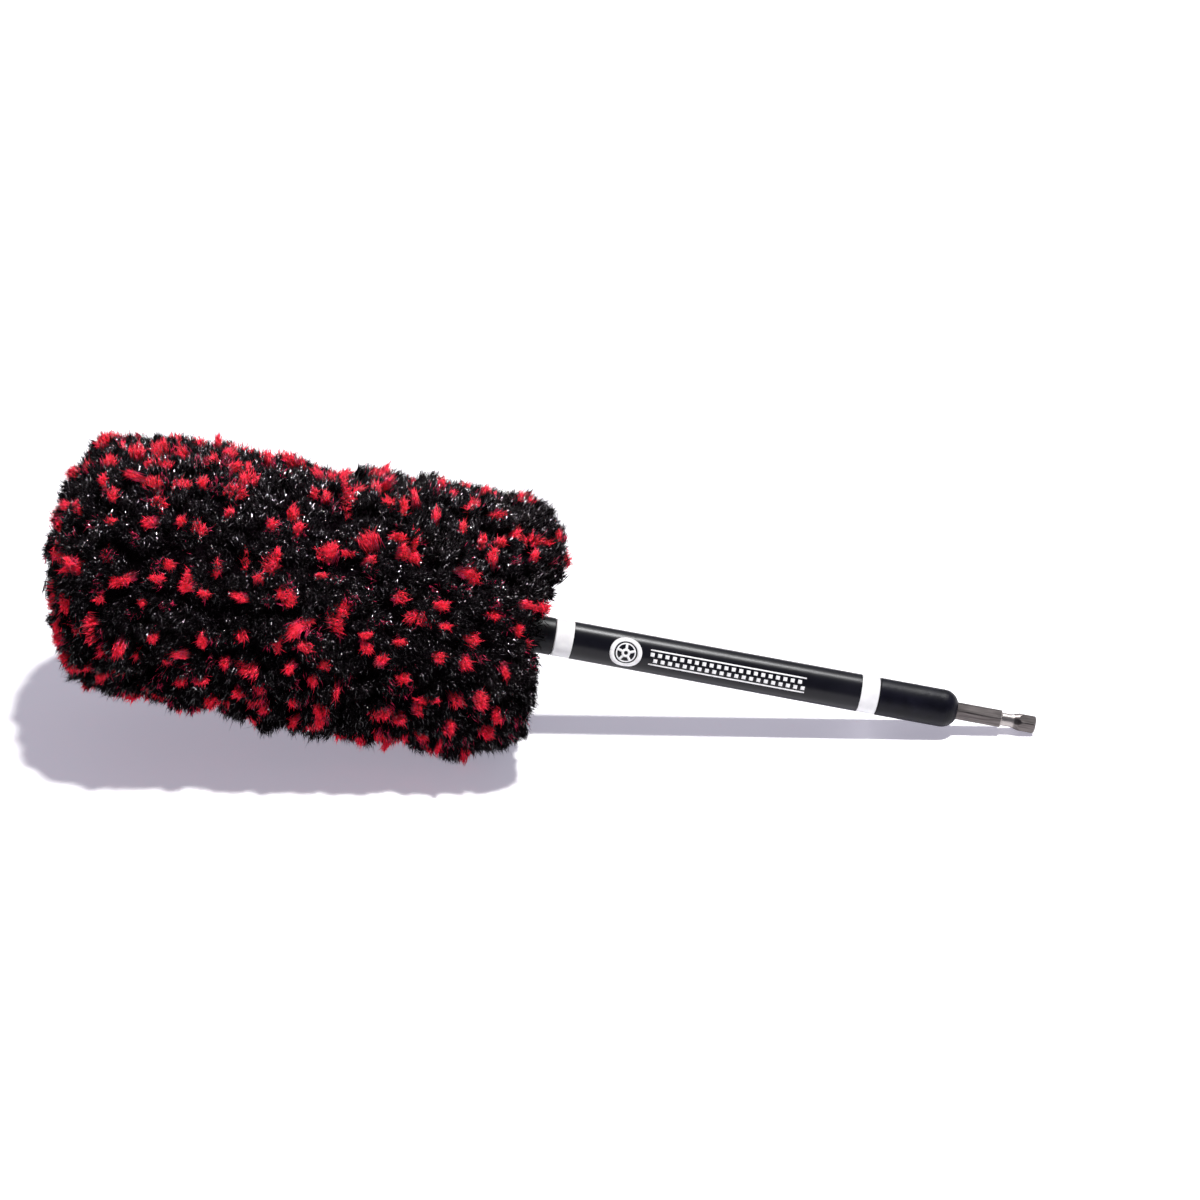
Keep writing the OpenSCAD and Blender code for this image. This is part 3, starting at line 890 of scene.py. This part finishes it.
# Tufts lean towards the middle of their clump and stand lower at its edge, which opens dark creases.
# Three slow waves swell the whole surface, and every clump and tuft has a height of its own.
clump_gap = np.linalg.norm(tuft_ends[:, None] - clump_points[None], axis=2)
nearest = clump_gap.argmin(axis=1)
from_middle = clump_gap.min(axis=1) / CLUMP_RADIUS
pull = clump_points[nearest] - tuft_ends
pull = pull - (pull * tuft_out).sum(axis=1, keepdims=True) * tuft_out
swell = (
    np.sin(tuft_ends[:, 0] * 190 + 1.0)
    + np.sin(tuft_ends[:, 1] * 150 + tuft_ends[:, 0] * 90 + 2.0)
    + np.sin(tuft_ends[:, 2] * 170 - tuft_ends[:, 0] * 60)
) / 3
clump_height = random.normal(0, CLUMP_HEIGHT_SPREAD, CLUMP_COUNT)[nearest]
tuft_height = (
    SWELL_HEIGHT * swell
    + clump_height
    - CLUMP_EDGE_DROP * np.minimum(from_middle, CLUMP_REACH) ** 2
    + random.normal(0, TUFT_HEIGHT_SPREAD, TUFT_COUNT)
    + TUFT_LIFT
)
tuft_ends = tuft_ends + CLUMP_PULL * pull + tuft_height[:, None] * tuft_out

# The head sags, and its near end is pushed up a little where it lies on the floor.
sag = SAG * np.clip((tuft_distance - pile_near - SAG_LENGTH) / SAG_LENGTH, -1, 1)
tuft_ends = tuft_ends - sag[:, None] * top

# The tufts nearest to a second, wider scatter of points are red, except round the middle of the ends and
# low on the near edge. Red yarn stands more askew.
red_spots = around_tool(*scatter_on_pile(RED_COUNT, 1.3, random, 2.4))
is_red = np.zeros(TUFT_COUNT, bool)
is_red[np.linalg.norm(tuft_ends[None] - red_spots[:, None], axis=2).argmin(axis=1)] = True
is_red &= tuft_radius > BARE_MIDDLE
is_red &= (tuft_distance > pile_near + BARE_EDGE) | (np.cos(tuft_turn) > BARE_COSINE)
askew = np.where(is_red, RED_ASKEW, BLACK_ASKEW)[:, None] * random.normal(0, 1, (TUFT_COUNT, 3))
tuft_out = unit(tuft_ends - tuft_roots + askew)


def square_to(directions):
    """For each unit vector, a unit vector square to it."""
    helper = np.where(np.abs(directions[:, :1]) < 0.7, [[1.0, 0.0, 0.0]], [[0.0, 1.0, 0.0]])
    return unit(np.cross(directions, helper))


def grow_hairs(ends, out, spread, stretch, length, width, count, random):
    """Tapered hairs with a kink near the end, as three-sided spindles. In each tuft the hair ends fill
    a disc across its direction, stretched one way and sunk at the rim, where the distance from the
    middle is the spread times the root of a random share. A hair starts its length further in, nearer
    to the tuft's middle line, is widest at the kink, and turns there a little to one side.
    Returns points and triangles."""
    tufts = len(ends)
    across = square_to(out)
    beside = np.cross(out, across)
    reach = np.sqrt(random.uniform(0, 1, (tufts, count, 1)))
    angle = random.uniform(0, 2 * np.pi, (tufts, count, 1))
    stretch = stretch[:, None, None]
    disc = stretch * reach * np.cos(angle) * across[:, None]
    disc = disc + reach * np.sin(angle) * beside[:, None] / stretch
    lift = random.normal(0, END_SCATTER, (tufts, count, 1)) - RIM_DROP * reach**2
    hair_ends = ends[:, None] + spread[:, None, None] * disc + lift * out[:, None]
    inward = length * random.uniform(*LENGTH_SHARES, (tufts, count, 1))
    starts = ends[:, None] - inward * out[:, None] + START_NARROWING * spread[:, None, None] * disc
    starts = starts + random.normal(0, START_SCATTER, (tufts, count, 3))
    hair_ends, starts = hair_ends.reshape(-1, 3), starts.reshape(-1, 3)
    kinks = hair_ends + (starts - hair_ends) * random.uniform(*KINK_SHARES, (len(starts), 1))
    hair_ends = hair_ends + random.normal(0, KINK_SCATTER, hair_ends.shape)
    heading = unit(kinks - starts)
    wide = square_to(heading)
    deep = np.cross(heading, wide)
    roll = random.uniform(0, 2 * np.pi, (len(starts), 1, 1)) + np.arange(3)[None, :, None] * 2 * np.pi / 3
    thick = width * random.uniform(*WIDTH_SHARES, (len(starts), 1, 1))
    ring = kinks[:, None] + thick * (np.cos(roll) * wide[:, None] + np.sin(roll) * deep[:, None])
    points = np.concatenate([starts[:, None], ring, hair_ends[:, None]], axis=1).reshape(-1, 3)
    corner = 5 * np.arange(len(starts))[:, None, None]
    pattern = np.array([[1, 0, 2], [2, 0, 3], [3, 0, 1], [1, 2, 4], [2, 3, 4], [3, 1, 4]])
    return points, (corner + pattern).reshape(-1, 3)


def rest_on_floor(points):
    """Fibre that would reach the floor is pressed flat on it: below the rest height h, a height z
    becomes h times e to the power (z - h) / h, which never reaches zero."""
    height = points[:, 2]
    pressed = REST_HEIGHT * np.exp(np.minimum(height - REST_HEIGHT, 0) / REST_HEIGHT)
    points[:, 2] = np.where(height < REST_HEIGHT, pressed, height)
    return points


def link_pile(name, points, faces, material):
    """A piece of the pile: its points rest on the floor, and the two lamps for the pile light it."""
    piece = link_mesh(name, rest_on_floor(points), faces, material)
    pile_pieces.objects.link(piece)
    return piece


def make_fibre(name, dark, light, rough, specular, sheen=0.0, sheen_tint=(1.0, 1.0, 1.0, 1.0)):
    """Dyed fibre: a fine noise mixes two near tones; for the glinting black hairs the lighter tones are
    painted highlight. The sheen is the soft light along a crimped hair.
    """
    material, shader_nodes, shader_links, shader = start_material(name)
    place = shader_nodes.new("ShaderNodeTexCoord")
    noise = shader_nodes.new("ShaderNodeTexNoise")
    noise.inputs["Scale"].default_value = 420.0
    noise.inputs["Detail"].default_value = 2.0
    shader_links.new(place.outputs["Object"], noise.inputs["Vector"])
    colour = add_tones(shader_nodes, shader_links, noise.outputs["Fac"], dark, light, 0.36, 0.64)
    shader_links.new(colour, shader.inputs["Base Color"])
    shader.inputs["Roughness"].default_value = rough
    shader.inputs["Specular IOR Level"].default_value = specular
    shader.inputs["Sheen Weight"].default_value = sheen
    shader.inputs["Sheen Tint"].default_value = sheen_tint
    return material


BLACK_TONES = ((0.001, 0.0004, 0.0008, 1.0), (0.0032, 0.0016, 0.0026, 1.0))
# The next tones are the black fibre made lighter, as painted highlight for hair ends that catch the lamps.
PAINTED_GLINT_TONES = ((0.002, 0.0014, 0.002, 1.0), (0.012, 0.009, 0.013, 1.0))
WINE_TONES = ((0.30, 0.003, 0.030, 1.0), (0.75, 0.014, 0.10, 1.0))
RED_TONES = ((0.9, 0.004, 0.028, 1.0), (1.0, 0.012, 0.052, 1.0))
ROOT_TONES = ((0.0012, 0.0005, 0.001, 1.0), (0.003, 0.0015, 0.0025, 1.0))
WINE_SHEEN = (1.0, 0.4, 0.6, 1.0)
RED_SHEEN = (1.0, 0.35, 0.5, 1.0)

black_fibre = make_fibre("black_fibre", *BLACK_TONES, rough=0.35, specular=0.008)
# Painted highlight: hairs of the black yarn in lighter tones, and glossier than the rest.
painted_glint_fibre = make_fibre("painted_glint_fibre", *PAINTED_GLINT_TONES, rough=0.22, specular=0.9)
packed_fibre = make_fibre("packed_fibre", *ROOT_TONES, rough=1.0, specular=0.0)
wine_fibre = make_fibre(
    "wine_fibre", *WINE_TONES, rough=0.42, specular=0.05, sheen=0.1, sheen_tint=WINE_SHEEN
)
red_fibre = make_fibre(
    "red_fibre", *RED_TONES, rough=0.42, specular=0.04, sheen=0.22, sheen_tint=RED_SHEEN
)

# The packed roots of the pile, below the loose ends, as one lumpy body turned round the core. Its outside
# is the outline moved in by the root depth, and three waves round it make the lumps. It is hollow, with
# room for the core inside.
ROOT_DEPTH = 7.0 * mm
ROUND_STEPS = 220
BODY_ROWS = 190
FIRST_BODY_STEP = 40
LUMP_HEIGHT = 0.9 * mm
HOLLOW_GAP = 0.3 * mm
SCREW_GAP = 0.6 * mm
SCREW_ROOM = 6.5 * mm
body_turn = np.linspace(0, 2 * np.pi, ROUND_STEPS, endpoint=False)
body_pick = np.linspace(FIRST_BODY_STEP, OUTLINE_STEPS - 1, BODY_ROWS).astype(int)
slope = np.stack([np.gradient(outline_distance), np.gradient(outline_radius)], axis=1)[body_pick]
slope = slope / np.linalg.norm(slope, axis=1, keepdims=True)
inner_distance = outline_distance[body_pick] + slope[:, 1] * ROOT_DEPTH
inner_radius = outline_radius[body_pick] - slope[:, 0] * ROOT_DEPTH
inner_radius[-1] = 0.0
lump = (
    np.sin(9 * body_turn[None] + inner_distance[:, None] * 400)
    + np.sin(14 * body_turn[None] - inner_distance[:, None] * 610)
    + np.sin(23 * body_turn[None] + inner_distance[:, None] * 890)
) / 3
lump_size = LUMP_HEIGHT * np.minimum(inner_radius / (20 * mm), 1)[:, None]
body_radius = np.maximum(inner_radius[:, None] + lump_size * lump, 0)
hollow_end = screw_far + SCREW_GAP
hollow_distance = np.array([hollow_end, hollow_end, core_far + 4 * mm, core_near + 2 * mm])
hollow_radius = np.array([0.0, SCREW_ROOM, core_radius + HOLLOW_GAP, core_radius + HOLLOW_GAP])
all_distance = np.concatenate([inner_distance, hollow_distance])
all_radius = np.concatenate([body_radius, np.repeat(hollow_radius[:, None], ROUND_STEPS, 1)])
rows = len(all_distance)
body_points = on_tool(
    np.repeat(all_distance[:, None], ROUND_STEPS, 1),
    all_radius * np.cos(body_turn),
    all_radius * np.sin(body_turn),
).reshape(-1, 3)
row, column = np.meshgrid(np.arange(rows), np.arange(ROUND_STEPS), indexing="ij")
after = (column + 1) % ROUND_STEPS
body_faces = np.stack(
    [
        row * ROUND_STEPS + column,
        row * ROUND_STEPS + after,
        (row + 1) % rows * ROUND_STEPS + after,
        (row + 1) % rows * ROUND_STEPS + column,
    ],
    axis=-1,
).reshape(-1, 4)
pile_roots = link_pile("pile_roots", body_points, body_faces, packed_fibre)
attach(pile_roots, "brush")
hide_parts("black_pile")

black_order = np.flatnonzero(~is_red)
black_order = black_order[np.argsort(tuft_distance[black_order])]
band_size = int(MOST_TRIANGLES / (TRIANGLES_PER_HAIR * HAIRS_PER_TUFT))
for band, start in enumerate(range(0, len(black_order), band_size)):
    chosen = black_order[start : start + band_size]
    hair_points, hair_faces = grow_hairs(
        tuft_ends[chosen],
        tuft_out[chosen],
        spread=random.uniform(1.9 * mm, 3.0 * mm, len(chosen)),
        stretch=np.exp(random.normal(0, 0.22, len(chosen))),
        length=8.5 * mm,
        width=0.185 * mm,
        count=HAIRS_PER_TUFT,
        random=random,
    )
    black_tufts = link_pile(f"black_tufts_{band + 1}", hair_points, hair_faces, black_fibre)
    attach(black_tufts, "brush")

# One black hair in ten is lighter, which is painted highlight on the same black yarn, and glossier, so that
# it glints where it faces a lamp.
band_size = int(MOST_TRIANGLES / (TRIANGLES_PER_HAIR * GLINT_HAIRS_PER_TUFT))
for band, start in enumerate(range(0, len(black_order), band_size)):
    chosen = black_order[start : start + band_size]
    hair_points, hair_faces = grow_hairs(
        tuft_ends[chosen] + 0.3 * mm * tuft_out[chosen],
        tuft_out[chosen],
        spread=random.uniform(2.2 * mm, 3.3 * mm, len(chosen)),
        stretch=np.ones(len(chosen)),
        length=7.0 * mm,
        width=0.165 * mm,
        count=GLINT_HAIRS_PER_TUFT,
        random=random,
    )
    painted_glint_hairs = link_pile(f"painted_glint_hairs_{band + 1}", hair_points, hair_faces, painted_glint_fibre)
    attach(painted_glint_hairs, "brush")

# Short fibre between the tufts, sunk below their ends, which closes the gaps down to the packed roots.
UNDER_SINK = 4.6 * mm
under_place = scatter_on_pile(UNDER_COUNT, 1.0, random, 0.9)
under_ends = around_tool(*under_place)
under_out = unit(under_ends - rooted_at(*under_place))
under_points, under_faces = grow_hairs(
    under_ends - UNDER_SINK * under_out,
    under_out,
    spread=np.full(UNDER_COUNT, 5.0 * mm),
    stretch=np.ones(UNDER_COUNT),
    length=4.5 * mm,
    width=0.30 * mm,
    count=UNDER_HAIRS_PER_TUFT,
    random=random,
)
under_pile = link_pile("under_pile", under_points, under_faces, black_fibre)
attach(under_pile, "brush")

# Red tufts come in all sizes, most of them small, some drawn out into streaks.
red_order = np.flatnonzero(is_red)
red_order = red_order[np.argsort(tuft_distance[red_order])]
red_spread = (1.45 + 2.9 * random.uniform(0, 1, len(red_order)) ** 2.2) * mm
red_stretch = np.exp(random.normal(0, 0.38, len(red_order)))
red_lift = random.uniform(0.5 * mm, 2.1 * mm, (len(red_order), 1))
band_size = int(MOST_TRIANGLES / (TRIANGLES_PER_HAIR * RED_HAIRS_PER_TUFT))
for band, start in enumerate(range(0, len(red_order), band_size)):
    part = slice(start, start + band_size)
    chosen = red_order[part]
    red_points, red_faces = grow_hairs(
        tuft_ends[chosen] + red_lift[part] * tuft_out[chosen],
        tuft_out[chosen],
        spread=red_spread[part],
        stretch=red_stretch[part],
        length=8.0 * mm,
        width=0.2 * mm,
        count=RED_HAIRS_PER_TUFT,
        random=random,
    )
    red_ends = link_pile(f"red_ends_{band + 1}", red_points, red_faces, red_fibre)
    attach(red_ends, "brush")
    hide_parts("red_tufts")

# Wine-red hairs fray out round every red tuft, and some are mixed into the black tufts.
mixed_order = np.concatenate([red_order, random.choice(black_order, MIXED_COUNT, replace=False)])
mixed_spread = np.concatenate(
    [red_spread + 1.2 * mm, random.uniform(2.4 * mm, 4.0 * mm, MIXED_COUNT)]
)
mixed_points, mixed_faces = grow_hairs(
    tuft_ends[mixed_order],
    tuft_out[mixed_order],
    spread=mixed_spread,
    stretch=np.exp(random.normal(0, 0.3, len(mixed_order))),
    length=7.0 * mm,
    width=0.16 * mm,
    count=MIXED_HAIRS_PER_TUFT,
    random=random,
)
mixed_hairs = link_pile("mixed_hairs", mixed_points, mixed_faces, wine_fibre)
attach(mixed_hairs, "brush")

# Single long hairs stand proud of the rest all round.
stray_order = random.choice(black_order, STRAY_COUNT, replace=False)
stray_lift = random.uniform(0.5 * mm, 2.6 * mm, (STRAY_COUNT, 1))
stray_points, stray_faces = grow_hairs(
    tuft_ends[stray_order] + stray_lift * tuft_out[stray_order],
    tuft_out[stray_order],
    spread=np.full(STRAY_COUNT, 4.0 * mm),
    stretch=np.ones(STRAY_COUNT),
    length=9.0 * mm,
    width=0.11 * mm,
    count=STRAY_HAIRS_PER_TUFT,
    random=random,
)
stray_hairs = link_pile("stray_hairs", stray_points, stray_faces, black_fibre)
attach(stray_hairs, "brush")
